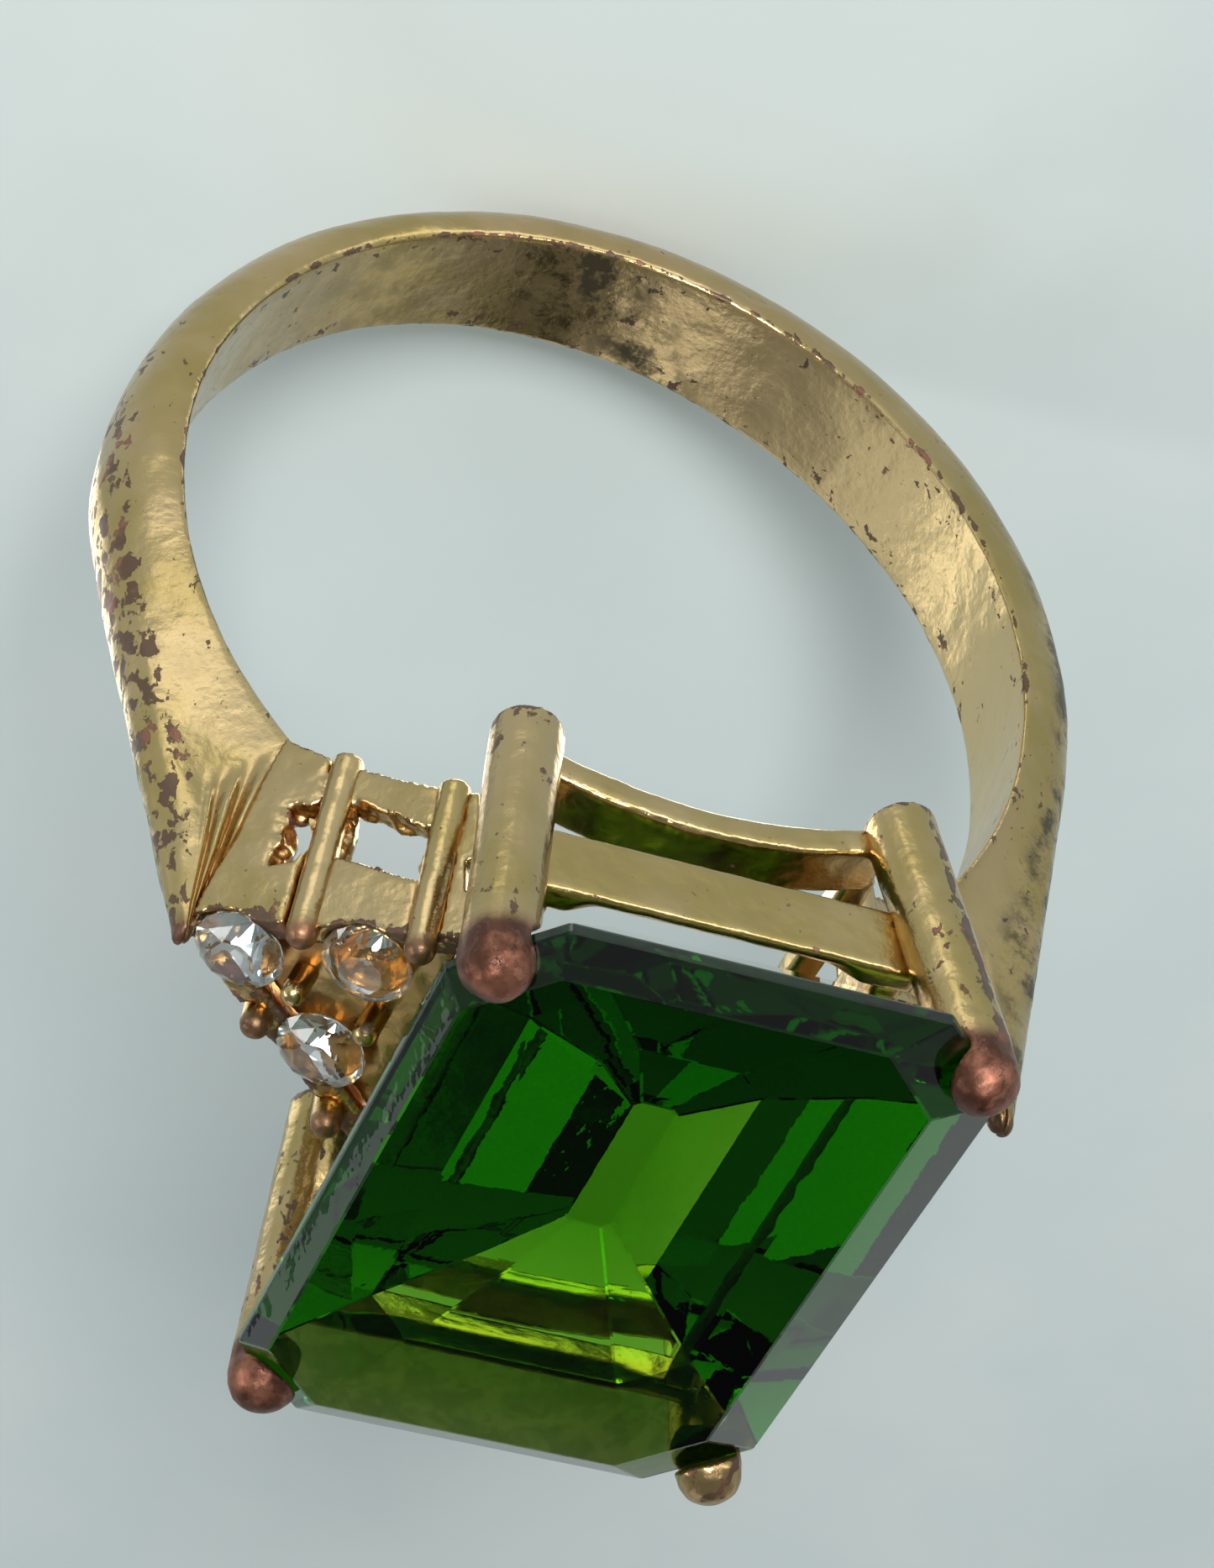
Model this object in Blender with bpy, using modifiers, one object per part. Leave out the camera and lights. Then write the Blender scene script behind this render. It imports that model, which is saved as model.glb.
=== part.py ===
"""Cocktail ring: a half-round shank, cathedral shoulders with clear accent stones, a claw-set green stone.

The frame has its origin at the centre of the finger hole, +Z towards the centre stone, +Y along the
finger and X across. Every shoulder and basket piece is modelled on the -X +Y side and mirrored.
"""

import math

import bmesh
import bpy
from mathutils import Matrix, Vector

MM = 0.001
GAP = 0.03 * MM  # solder line left open between neighbouring pieces

# Finger hole, a little taller than wide
HOLE_HALF_WIDTH = 8.75 * MM
HOLE_HALF_HEIGHT = 9.45 * MM

# Half-round band
BAND_HALF_WIDTH = 1.38 * MM
BACK_THICKNESS = 1.60 * MM
SIDE_THICKNESS = 1.42 * MM

# Centre stone, an octagon step cut. Its steps are (share of the half width, depth below the girdle)
STONE_HALF_X = 5.0 * MM
STONE_HALF_Y = 7.0 * MM
STONE_CORNER = 1.6 * MM
GIRDLE_HALF = 0.10 * MM
GIRDLE_HEIGHT = HOLE_HALF_HEIGHT + 5.49 * MM
CROWN_INSET = 0.60 * MM
CROWN_RISE = 0.55 * MM
PAVILION_STEPS = ((0.336, 2.10 * MM), (0.67, 3.60 * MM), (0.97, 4.55 * MM))

# Basket: four claw posts and two courses of rails, set back under the stone
POST_RADIUS = 0.635 * MM
POST_FOOT = Vector((1.50 * MM - STONE_HALF_X, STONE_HALF_Y - 1.55 * MM, HOLE_HALF_HEIGHT - 0.20 * MM))
POST_HEAD = Vector((0.58 * MM - STONE_HALF_X, STONE_HALF_Y - 0.88 * MM, GIRDLE_HEIGHT + 0.91 * MM))
RAIL_THICKNESS = 0.50 * MM
RAIL_END = 0.30 * MM
SIDE_RAIL_X = STONE_HALF_X - 1.50 * MM
LOWER_RAIL_HEIGHT = 0.55 * MM
LOWER_RAIL_DEPTH = 1.10 * MM
LOWER_RAIL_Y = STONE_HALF_Y - 1.65 * MM
LOWER_RAIL_CROWN = HOLE_HALF_HEIGHT + 0.45 * MM
LOWER_RAIL_ARCH = 8.0 * MM
LOWER_SIDE_Z = HOLE_HALF_HEIGHT - 0.30 * MM
UPPER_RAIL_Y = STONE_HALF_Y - 1.55 * MM
UPPER_RAIL_Z = HOLE_HALF_HEIGHT + 1.90 * MM
UPPER_RAIL_HEIGHT = 1.35 * MM

# Shoulder side walls: two plates that open from the tip towards the basket
SHOULDER_LENGTH = 4.50 * MM
WALL_START = SIDE_RAIL_X + SHOULDER_LENGTH
WALL_ANGLE = math.radians(35)
WALL_THICKNESS = 0.50 * MM
SEAM_FOOT_X = WALL_START - 1.60 * MM
SEAM_TOP_X = WALL_START - 0.28 * MM
SEAM_TOP_Z = HOLE_HALF_HEIGHT + 1.00 * MM
NOTCH_DEPTH = 0.35 * MM
NOTCH_LOW = HOLE_HALF_HEIGHT + 0.70 * MM
NOTCH_HIGH = HOLE_HALF_HEIGHT + 1.50 * MM

# Outer ridge of the shank, which leans in as it climbs to a tip over the start of the walls
TIP_HEIGHT = HOLE_HALF_HEIGHT + 1.20 * MM
TIP_OVERHANG = 0.12 * MM
TIP_HALF_WIDTH = 0.30 * MM
TIP_DOME = ((0.8, 0.5), (0.4, 0.75))  # (size, rise) of the two rings that round the tip, as shares
RIDGE_TURN = 1.5 * MM
RIDGE_AT_SEAM = HOLE_HALF_HEIGHT - 2.15 * MM
NOSE_HALF_WIDTH = 0.55 * MM
SCOOP_DEPTH = 0.16 * MM
BAND_FULLNESS = 2.6  # 2 is a half circle, more is squarer

# Accent stones lie in a plane that drops from the basket to the shoulder's tip
ACCENT_RADIUS = 0.85 * MM
ACCENT_CROWN = 0.35 * MM
ACCENT_DEPTH = 0.90 * MM
ACCENT_SLOPE = math.radians(21.8)
ACCENT_TIP_X = WALL_START - 1.12 * MM
ACCENT_PAIR_X = WALL_START - 3.07 * MM
ACCENT_PAIR_Y = 1.25 * MM
ACCENT_PAIR_Z = HOLE_HALF_HEIGHT + 2.05 * MM
PLATE_DROP = 0.35 * MM
PLATE_THICKNESS = 0.40 * MM
PLATE_OUTER_X = WALL_START - 1.20 * MM
BEAD_RADIUS = 0.20 * MM
BEAD_RISE = 0.50 * MM
BEAD_CLEARANCE = 0.07 * MM
BEAD_TIP_X = ACCENT_TIP_X - ACCENT_RADIUS - BEAD_RADIUS - BEAD_CLEARANCE
BEAD_BASKET_X = WALL_START - 3.58 * MM

# Bars on the walls: each foot's distance along the wall, and each head's distance and height over the hole
BAR_RADIUS = 0.26 * MM
BAR_FEET = (3.04 * MM, 5.02 * MM)
BAR_FOOT_DROP = 0.03 * MM
BAR_HEADS = ((2.20 * MM, 2.00 * MM), (4.35 * MM, 2.85 * MM))
WINDOW_LOW = 0.20
WINDOW_HIGH = 0.54
OUTER_WINDOW_WIDTH = 0.62 * MM


# Scene and helpers


def clear_scene():
    for obj in list(bpy.data.objects):
        bpy.data.objects.remove(obj, do_unlink=True)


def new_collection(name, hidden=False):
    collection = bpy.data.collections.new(name)
    collection.hide_render = hidden
    bpy.context.scene.collection.children.link(collection)
    return collection


def new_material(name, colour, roughness, metallic=1.0, transmission=0.0):
    material = bpy.data.materials.new(name)
    material.use_nodes = True
    shader = material.node_tree.nodes["Principled BSDF"]
    shader.inputs["Base Color"].default_value = (*colour, 1.0)
    shader.inputs["Roughness"].default_value = roughness
    shader.inputs["Metallic"].default_value = metallic
    shader.inputs["Transmission Weight"].default_value = transmission
    return material


def add_object(name, mesh, collection, material=None):
    obj = bpy.data.objects.new(name, mesh)
    collection.objects.link(obj)
    if material is not None:
        mesh.materials.clear()
        mesh.materials.append(material)
    if collection is CUTTERS:
        obj.hide_render = True
        obj.display_type = "WIRE"
    return obj


def shade_round(obj, angle=35):
    obj.data.shade_smooth()
    obj.data.set_sharp_from_angle(angle=math.radians(angle))


def bake(obj):
    """Replaces an object's data by its evaluated mesh in world space, with its caps welded."""
    bpy.context.view_layer.update()
    evaluated = obj.evaluated_get(bpy.context.evaluated_depsgraph_get())
    mesh = bpy.data.meshes.new_from_object(evaluated)
    mesh.transform(obj.matrix_world)
    shape = bmesh.new()
    shape.from_mesh(mesh)
    bmesh.ops.remove_doubles(shape, verts=shape.verts, dist=0.001 * MM)
    bmesh.ops.recalc_face_normals(shape, faces=shape.faces)
    shape.to_mesh(mesh)
    shape.free()
    name, collection = obj.name, obj.users_collection[0]
    material = obj.active_material
    bpy.data.objects.remove(obj, do_unlink=True)
    return add_object(name, mesh, collection, material)


def cut(obj, *cutters):
    """Takes every cutter out of the object, and bakes the result."""
    for cutter in cutters:
        modifier = obj.modifiers.new("cut " + cutter.name, "BOOLEAN")
        modifier.operation = "DIFFERENCE"
        modifier.solver = "EXACT"
        modifier.object = cutter
    return bake(obj)


def loft(name, rings, collection, material=None):
    """Skins closed rings with the same number of points, and closes both ends."""
    shape = bmesh.new()
    loops = [[shape.verts.new(point) for point in ring] for ring in rings]
    for lower, upper in zip(loops, loops[1:]):
        for i in range(len(lower)):
            j = (i + 1) % len(lower)
            shape.faces.new((lower[i], lower[j], upper[j], upper[i]))
    shape.faces.new(loops[0])
    shape.faces.new(loops[-1])
    bmesh.ops.recalc_face_normals(shape, faces=shape.faces)
    mesh = bpy.data.meshes.new(name)
    shape.to_mesh(mesh)
    shape.free()
    return add_object(name, mesh, collection, material)


def turned(name, profile, steps, matrix, collection, material=None):
    """Turns a profile of (radius, height) points, listed top to bottom, about local Z."""
    mesh = bpy.data.meshes.new(name)
    points = [(radius, 0.0, height) for radius, height in profile]
    edges = [(i, i + 1) for i in range(len(points) - 1)]
    mesh.from_pydata(points, edges, [])
    obj = add_object(name, mesh, collection, material)
    screw = obj.modifiers.new("turn", "SCREW")
    screw.steps = steps
    screw.render_steps = steps
    screw.use_merge_vertices = True
    screw.merge_threshold = 0.0005 * MM
    obj.matrix_world = matrix
    return bake(obj)


def flat_piece(name, outline, holes, thickness, matrix, collection, material=None):
    """Extrudes a flat outline with holes by half its thickness to each side of local Z = 0."""
    curve = bpy.data.curves.new(name, "CURVE")
    curve.dimensions = "2D"
    curve.fill_mode = "BOTH"
    curve.extrude = thickness / 2
    for loop in (outline, *holes):
        spline = curve.splines.new("POLY")
        spline.points.add(len(loop) - 1)
        for point, (x, y) in zip(spline.points, loop):
            point.co = (x, y, 0.0, 1.0)
        spline.use_cyclic_u = True
    obj = add_object(name, curve, collection, material)
    obj.matrix_world = matrix
    return bake(obj)


def block(name, low, high, collection, material=None):
    """A box between two corners."""
    shape = bmesh.new()
    bmesh.ops.create_cube(shape, size=1.0)
    size = Vector(high) - Vector(low)
    bmesh.ops.scale(shape, vec=size, verts=shape.verts)
    bmesh.ops.translate(shape, vec=(Vector(low) + Vector(high)) / 2, verts=shape.verts)
    mesh = bpy.data.meshes.new(name)
    shape.to_mesh(mesh)
    shape.free()
    return add_object(name, mesh, collection, material)


def mirrored(obj, name, x=1, y=1):
    """Another object on the same mesh, mirrored across X = 0, Y = 0 or both."""
    copy = bpy.data.objects.new(name, obj.data)
    obj.users_collection[0].objects.link(copy)
    copy.scale = (x, y, 1)
    return copy


def aim(start, end):
    """Matrix that stands local Z on the line from start to end."""
    turn = (Vector(end) - Vector(start)).to_track_quat("Z", "Y")
    return Matrix.Translation(start) @ turn.to_matrix().to_4x4()


def rod_profile(radius, length, steps=4):
    """Round-ended rod with a flat foot, as (radius, height) points from the top down."""
    quarter = [math.radians(90 * i / steps) for i in range(steps + 1)]
    dome = [(radius * math.sin(a), length - radius * (1 - math.cos(a))) for a in quarter]
    return [*dome, (radius, 0.0), (0.0, 0.0)]


def between(a, b, share):
    return a + (b - a) * share


# Shank


def hole_height(x):
    """Height of the finger hole's upper half at x."""
    return HOLE_HALF_HEIGHT * math.sqrt(1 - (x / HOLE_HALF_WIDTH) ** 2)


def climb(height):
    return math.hypot(height, RIDGE_TURN) - RIDGE_TURN


def ridge_x(height):
    """Outer ridge: upright beside the finger, then a straight lean inwards to the tip."""
    side = HOLE_HALF_WIDTH + SIDE_THICKNESS
    return between(side, WALL_START + TIP_OVERHANG, climb(height) / climb(TIP_HEIGHT))


def wall_half_width(x):
    """Half the distance between the outer faces of the two walls at x."""
    return (WALL_START - x) * math.tan(WALL_ANGLE)


def band_station(angle):
    """Inner and outer point of the band, with the angle measured from the back of the ring."""
    sine, cosine = math.sin(angle), math.cos(angle)
    inner = Vector((HOLE_HALF_WIDTH * sine, -HOLE_HALF_HEIGHT * cosine))
    outward = Vector((sine / HOLE_HALF_WIDTH, -cosine / HOLE_HALF_HEIGHT)).normalized()
    thickness = between(BACK_THICKNESS, SIDE_THICKNESS, sine**2)
    return inner, inner + outward * thickness


def section(side, inner, outer, half_width, horn):
    """Ring of points round the shank: a half round that turns into a scooped blade as horn goes to 1."""
    points = 8
    span = (outer - inner).length
    nose = min(NOSE_HALF_WIDTH, half_width)
    nose_start = 1 - min(nose / span, 0.9)
    flank = []
    for i in range(points):
        along = math.sin(math.radians(90 * i / points))
        half_round = half_width * math.sqrt(1 - along**BAND_FULLNESS)
        if along < nose_start:
            share = along / nose_start
            blade = between(half_width, nose, share) - SCOOP_DEPTH * math.sin(math.pi * share)
        else:
            blade = nose * math.sqrt(1 - ((along - nose_start) / (1 - nose_start)) ** 2)
        flank.append((along, between(half_round, blade, horn)))
    ring = [(along, y) for along, y in flank]
    ring.append((1.0, 0.0))
    ring += [(along, -y) for along, y in reversed(flank)]
    placed = []
    for along, y in ring:
        spot = between(inner, outer, along)
        placed.append((side * spot.x, y, spot.y))
    return placed


def horn_stations():
    """Sections from beside the finger up to the shoulder's tip, on the +X side."""
    stations = []
    seam_angle = math.pi - math.asin(SEAM_FOOT_X / HOLE_HALF_WIDTH)
    seam_foot = Vector((SEAM_FOOT_X, hole_height(SEAM_FOOT_X)))
    foot_width = wall_half_width(SEAM_FOOT_X)
    steps = 8
    for i in range(1, steps + 1):
        share = i / steps
        inner, _ = band_station(between(math.pi / 2, seam_angle, share))
        height = RIDGE_AT_SEAM * share
        outer = Vector((ridge_x(height), height))
        stations.append((inner, outer, between(BAND_HALF_WIDTH, foot_width, share), share))
    seam_top = Vector((SEAM_TOP_X, SEAM_TOP_Z))
    for i in range(1, steps + 1):
        share = i / steps
        inner = between(seam_foot, seam_top, share)
        height = between(RIDGE_AT_SEAM, TIP_HEIGHT, share)
        outer = Vector((ridge_x(height), height))
        stations.append((inner, outer, max(wall_half_width(inner.x), TIP_HALF_WIDTH), 1.0))
    middle = (stations[-1][0] + stations[-1][1]) / 2
    rise = Vector((0.0, TIP_HALF_WIDTH))
    for size, lift in TIP_DOME:
        inner = middle + (seam_top - middle) * size + rise * lift
        outer = middle + (outer_tip() - middle) * size + rise * lift
        stations.append((inner, outer, TIP_HALF_WIDTH * size, 1.0))
    return stations


def outer_tip():
    return Vector((ridge_x(TIP_HEIGHT), TIP_HEIGHT))


def build_shank():
    rings = []
    horn = horn_stations()
    for inner, outer, half_width, blade in reversed(horn):
        rings.append(section(-1, inner, outer, half_width, blade))
    steps = 18
    for i in range(-steps, steps + 1):
        side = -1 if i < 0 else 1
        inner, outer = band_station(math.pi / 2 * abs(i) / steps)
        rings.append(section(side, inner, outer, BAND_HALF_WIDTH, 0.0))
    for inner, outer, half_width, blade in horn:
        rings.append(section(1, inner, outer, half_width, blade))
    material = new_material("shank_plating", (0.60, 0.50, 0.30), 0.28)
    shank = loft("shank", rings, PARTS, material)
    shank = cut(shank, SEATS["left_tip"], SEATS["right_tip"])
    shade_round(shank)


# Centre stone


def octagon(half_x, half_y, corner, height):
    """Corner-cut rectangle of eight points at one height."""
    points = []
    for sign_x, sign_y in ((1, 1), (-1, 1), (-1, -1), (1, -1)):
        pair = [(half_x, half_y - corner), (half_x - corner, half_y)]
        if sign_x * sign_y < 0:
            pair.reverse()
        points += [(sign_x * x, sign_y * y, height) for x, y in pair]
    return points


def stone_rings(grow=0.0):
    """Rings of the step cut from the keel to the table, each grown outwards by the same clearance."""
    levels = [(share * STONE_HALF_X, -GIRDLE_HALF - depth) for share, depth in reversed(PAVILION_STEPS)]
    levels += [(0.0, -GIRDLE_HALF), (0.0, GIRDLE_HALF), (CROWN_INSET, GIRDLE_HALF + CROWN_RISE)]
    rings = []
    for inset, height in levels:
        share = (STONE_HALF_X - inset) / STONE_HALF_X
        away = grow if height > 0 else -grow
        rings.append(
            octagon(
                STONE_HALF_X - inset + grow,
                STONE_HALF_Y - inset + grow,
                STONE_CORNER * share + grow * (2 - math.sqrt(2)),
                GIRDLE_HEIGHT + height + away,
            )
        )
    return rings


def build_centre_stone():
    material = new_material("green_glass", (0.10, 0.38, 0.03), 0.03, metallic=0.0, transmission=1.0)
    loft("centre_stone", stone_rings(), PARTS, material)
    return loft("stone_clearance", stone_rings(GAP), CUTTERS)


# Basket


def build_posts():
    """Four claw posts, each notched by the stone's corner."""
    material = new_material("post_plating", (0.62, 0.52, 0.33), 0.25)
    length = (POST_HEAD - POST_FOOT).length
    profile = rod_profile(POST_RADIUS, length)
    post = turned("post_left_near", profile, 20, aim(POST_FOOT, POST_HEAD), PARTS, material)
    post = cut(post, STONE_CLEARANCE)
    shade_round(post)
    mirrored(post, "post_right_near", x=-1)
    mirrored(post, "post_left_far", y=-1)
    mirrored(post, "post_right_far", x=-1, y=-1)


def build_post_cutters():
    extra = (POST_HEAD - POST_FOOT).normalized() * MM
    profile = rod_profile(POST_RADIUS + GAP, (POST_HEAD - POST_FOOT).length + 2 * MM)
    cutter = turned("post_clearance", profile, 20, aim(POST_FOOT - extra, POST_HEAD), CUTTERS)
    cutters = [cutter]
    for x, y in ((-1, 1), (1, -1), (-1, -1)):
        copy = mirrored(cutter, f"post_clearance_{len(cutters)}", x=x, y=y)
        copy.hide_render = True
        copy.display_type = "WIRE"
        cutters.append(bake(copy))
    return cutters


def arch_outline(half_length, crown, radius, height):
    """Bar that follows an arch: its lower edge is an arc whose top is at the crown height."""
    steps = 10
    edge = []
    for i in range(steps + 1):
        x = between(-half_length, half_length, i / steps)
        edge.append((x, crown - radius + math.sqrt(radius**2 - x**2)))
    return edge + [(x, z + height) for x, z in reversed(edge)]


def build_rails():
    """Lower rails arch over the finger, upper rails carry the stone."""
    lower = new_material("lower_rail_plating", (0.58, 0.45, 0.24), 0.30)
    upper = new_material("upper_rail_plating", (0.66, 0.57, 0.38), 0.22)
    stand = Matrix.Translation((0, LOWER_RAIL_Y - LOWER_RAIL_DEPTH / 2, 0)) @ Matrix.Rotation(math.pi / 2, 4, "X")
    half_length = -POST_FOOT.x - RAIL_END
    outline = arch_outline(half_length, LOWER_RAIL_CROWN, LOWER_RAIL_ARCH, LOWER_RAIL_HEIGHT)
    near = flat_piece("lower_rail_near", outline, [], LOWER_RAIL_DEPTH, stand, PARTS, lower)
    near = cut(near, *POST_CUTTERS)
    mirrored(near, "lower_rail_far", y=-1)

    half_depth = LOWER_RAIL_Y - LOWER_RAIL_DEPTH - GAP
    low = (-SIDE_RAIL_X, -half_depth, LOWER_SIDE_Z)
    high = (-SIDE_RAIL_X + RAIL_THICKNESS, half_depth, LOWER_SIDE_Z + LOWER_RAIL_HEIGHT)
    left = cut(block("lower_rail_left", low, high, PARTS, lower), *POST_CUTTERS)
    mirrored(left, "lower_rail_right", x=-1)

    share = (UPPER_RAIL_Z - POST_FOOT.z) / (POST_HEAD.z - POST_FOOT.z)
    corner = between(POST_FOOT, POST_HEAD, share)
    low = (corner.x + RAIL_END, UPPER_RAIL_Y - RAIL_THICKNESS, UPPER_RAIL_Z)
    high = (-corner.x - RAIL_END, UPPER_RAIL_Y, UPPER_RAIL_Z + UPPER_RAIL_HEIGHT)
    near = block("upper_rail_near", low, high, PARTS, upper)
    near = cut(near, STONE_CLEARANCE, *POST_CUTTERS)
    mirrored(near, "upper_rail_far", y=-1)

    half_depth = UPPER_RAIL_Y - RAIL_THICKNESS - GAP
    low = (-SIDE_RAIL_X, -half_depth, UPPER_RAIL_Z)
    high = (-SIDE_RAIL_X + RAIL_THICKNESS, half_depth, UPPER_RAIL_Z + UPPER_RAIL_HEIGHT)
    left = block("upper_rail_left", low, high, PARTS, upper)
    left = cut(left, STONE_CLEARANCE, *POST_CUTTERS)
    mirrored(left, "upper_rail_right", x=-1)


# Shoulder clusters


def cluster_height(x):
    """Height of the accent stones' girdles at the distance x from the middle."""
    return ACCENT_PAIR_Z + (ACCENT_PAIR_X - x) * math.tan(ACCENT_SLOPE)


def cluster_matrix(x, y, rise=0.0):
    """Stands local Z square to the cluster's plane, over the point (-x, y)."""
    tilt = Matrix.Rotation(-ACCENT_SLOPE, 4, "Y")
    spot = Vector((-x, y, cluster_height(x)))
    return Matrix.Translation(spot) @ tilt @ Matrix.Translation((0, 0, rise))


ACCENT_SPOTS = {
    "tip": (ACCENT_TIP_X, 0.0),
    "near": (ACCENT_PAIR_X, ACCENT_PAIR_Y),
    "far": (ACCENT_PAIR_X, -ACCENT_PAIR_Y),
}


def build_seat_cutters():
    """A bore above the girdle and a cone below it, for each accent stone."""
    radius = ACCENT_RADIUS + GAP
    cone = ACCENT_DEPTH + GAP
    profile = [(0.0, 1.2 * MM), (radius, 1.2 * MM), (radius, -GAP), (0.0, -cone)]
    seats = {}
    for spot, (x, y) in ACCENT_SPOTS.items():
        name = f"seat_left_{spot}"
        cutter = turned(name, profile, 20, cluster_matrix(x, y), CUTTERS)
        seats[f"left_{spot}"] = cutter
        copy = mirrored(cutter, f"seat_right_{spot}", x=-1)
        copy.hide_render = True
        copy.display_type = "WIRE"
        seats[f"right_{spot}"] = bake(copy)
    return seats


def build_accent_stones():
    """Round stones with a flat table and a pointed back."""
    material = new_material("clear_glass", (0.92, 0.93, 0.90), 0.03, metallic=0.0, transmission=1.0)
    girdle = 0.04 * MM
    profile = [
        (0.0, ACCENT_CROWN),
        (0.55 * ACCENT_RADIUS, ACCENT_CROWN),
        (ACCENT_RADIUS, girdle),
        (ACCENT_RADIUS, 0.0),
        (0.0, -ACCENT_DEPTH),
    ]
    for spot, (x, y) in ACCENT_SPOTS.items():
        stone = turned(f"accent_left_{spot}", profile, 12, cluster_matrix(x, y), PARTS, material)
        mirrored(stone, f"accent_right_{spot}", x=-1)


def wall_point(along, height):
    """World point on the near left wall's outer face."""
    x = -WALL_START + along * math.cos(WALL_ANGLE)
    return Vector((x, along * math.sin(WALL_ANGLE), height))


def bar_lines():
    """Foot and head of each bar, as (distance along the wall, height). The feet stand at the finger hole."""
    lines = []
    for along, (head_along, rise) in zip(BAR_FEET, BAR_HEADS):
        x = WALL_START - along * math.cos(WALL_ANGLE)
        foot = (along, hole_height(x) - BAR_FOOT_DROP)
        lines.append((foot, (head_along, HOLE_HALF_HEIGHT + rise)))
    return lines


def build_bars():
    """Two round-ended rods let into each wall, with clearance cutters for the wall."""
    material = new_material("bar_plating", (0.63, 0.53, 0.34), 0.26)
    cutters = []
    for number, (foot, head) in enumerate(bar_lines(), 1):
        start, end = wall_point(*foot), wall_point(*head)
        length = (end - start).length
        profile = rod_profile(BAR_RADIUS, length, steps=3)
        bar = turned(f"bar_{number}_left_near", profile, 14, aim(start, end), PARTS, material)
        shade_round(bar)
        mirrored(bar, f"bar_{number}_right_near", x=-1)
        mirrored(bar, f"bar_{number}_left_far", y=-1)
        mirrored(bar, f"bar_{number}_right_far", x=-1, y=-1)
        below = (end - start).normalized() * MM
        profile = rod_profile(BAR_RADIUS + GAP, length + 2 * MM, steps=3)
        cutters.append(turned(f"bar_clearance_{number}", profile, 14, aim(start - below, end), CUTTERS))
    return cutters


def window(left, right, width_left=0.0, width_right=0.0):
    """Four-sided opening between two lines of the wall, drawn from the bars' low to high share."""
    corners = []
    for line, offset, shares in (
        (left, width_left, (WINDOW_LOW, WINDOW_HIGH)),
        (right, -width_right, (WINDOW_HIGH, WINDOW_LOW)),
    ):
        for share in shares:
            foot, head = line
            corners.append((between(foot[0], head[0], share) + offset, between(foot[1], head[1], share)))
    return corners


def wall_outline():
    """Outer face of a wall as (distance along the wall, height) points."""
    cosine = math.cos(WALL_ANGLE)
    seam_gap = 1.5 * GAP
    foot = (WALL_START - SEAM_FOOT_X + seam_gap) / cosine
    top = (WALL_START - SEAM_TOP_X + seam_gap) / cosine
    end = (WALL_START - SIDE_RAIL_X + GAP) / cosine
    low = hole_height(SEAM_FOOT_X)
    return [
        (foot, low),
        (end, low),
        (end, NOTCH_LOW),
        (end - NOTCH_DEPTH, NOTCH_LOW),
        (end - NOTCH_DEPTH, NOTCH_HIGH),
        (end, NOTCH_HIGH),
        (end, cluster_height(SIDE_RAIL_X)),
        (top, cluster_height(SEAM_TOP_X)),
    ]


def build_walls():
    """Side walls with two windows each, cut by the finger hole, the seats and the bars."""
    material = new_material("wall_plating", (0.60, 0.50, 0.31), 0.30)
    first, second = bar_lines()
    outer = window(first, first, -OUTER_WINDOW_WIDTH - BAR_RADIUS, BAR_RADIUS)
    inner = window(first, second, BAR_RADIUS, BAR_RADIUS)
    cosine, sine = math.cos(WALL_ANGLE), math.sin(WALL_ANGLE)
    inwards = Vector((sine, -cosine, 0)) * WALL_THICKNESS / 2
    place = Matrix(
        (
            (cosine, 0, sine, -WALL_START + inwards.x),
            (sine, 0, -cosine, inwards.y),
            (0, 1, 0, 0),
            (0, 0, 0, 1),
        )
    )
    wall = flat_piece("wall_left_near", wall_outline(), [outer, inner], WALL_THICKNESS, place, PARTS, material)
    far_side = block("far_side", (-2 * WALL_START, -MM, 0), (0, GAP / 2, 2 * TIP_HEIGHT), CUTTERS)
    basket_side = block("basket_side", (-SIDE_RAIL_X - GAP, 0, 0), (0, WALL_START, 2 * TIP_HEIGHT), CUTTERS)
    limits = (FINGER_HOLE, far_side, basket_side)
    wall = cut(wall, *limits, SEATS["left_tip"], SEATS["left_near"], *BAR_CUTTERS)
    mirrored(wall, "wall_right_near", x=-1)
    mirrored(wall, "wall_left_far", y=-1)
    mirrored(wall, "wall_right_far", x=-1, y=-1)


def build_plates():
    """Seat plates between the walls, bored for the stones' backs."""
    material = new_material("plate_plating", (0.45, 0.27, 0.11), 0.38)
    clear = WALL_THICKNESS / math.cos(WALL_ANGLE) + 1.5 * GAP
    inner_x = SIDE_RAIL_X + GAP + (PLATE_DROP + PLATE_THICKNESS) * math.sin(ACCENT_SLOPE)
    stretch = 1 / math.cos(ACCENT_SLOPE)
    outline = []
    for x, sign in ((PLATE_OUTER_X, -1), (inner_x, -1), (inner_x, 1), (PLATE_OUTER_X, 1)):
        along = (ACCENT_PAIR_X - x) * stretch
        outline.append((along, sign * (wall_half_width(x) - clear)))
    place = cluster_matrix(ACCENT_PAIR_X, 0.0, -PLATE_DROP - PLATE_THICKNESS / 2)
    plate = flat_piece("plate_left", outline, [], PLATE_THICKNESS, place, PARTS, material)
    plate = cut(plate, SEATS["left_tip"], SEATS["left_near"], SEATS["left_far"])
    mirrored(plate, "plate_right", x=-1)


def build_beads():
    """Two short prongs on each plate, on the centre line between the stones."""
    material = new_material("bead_plating", (0.66, 0.54, 0.32), 0.22)
    base = -PLATE_DROP + GAP
    profile = rod_profile(BEAD_RADIUS, BEAD_RISE - base, steps=3)
    for number, x in enumerate((BEAD_TIP_X, BEAD_BASKET_X), 1):
        bead = turned(f"bead_{number}_left", profile, 12, cluster_matrix(x, 0.0, base), PARTS, material)
        shade_round(bead)
        mirrored(bead, f"bead_{number}_right", x=-1)


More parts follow.
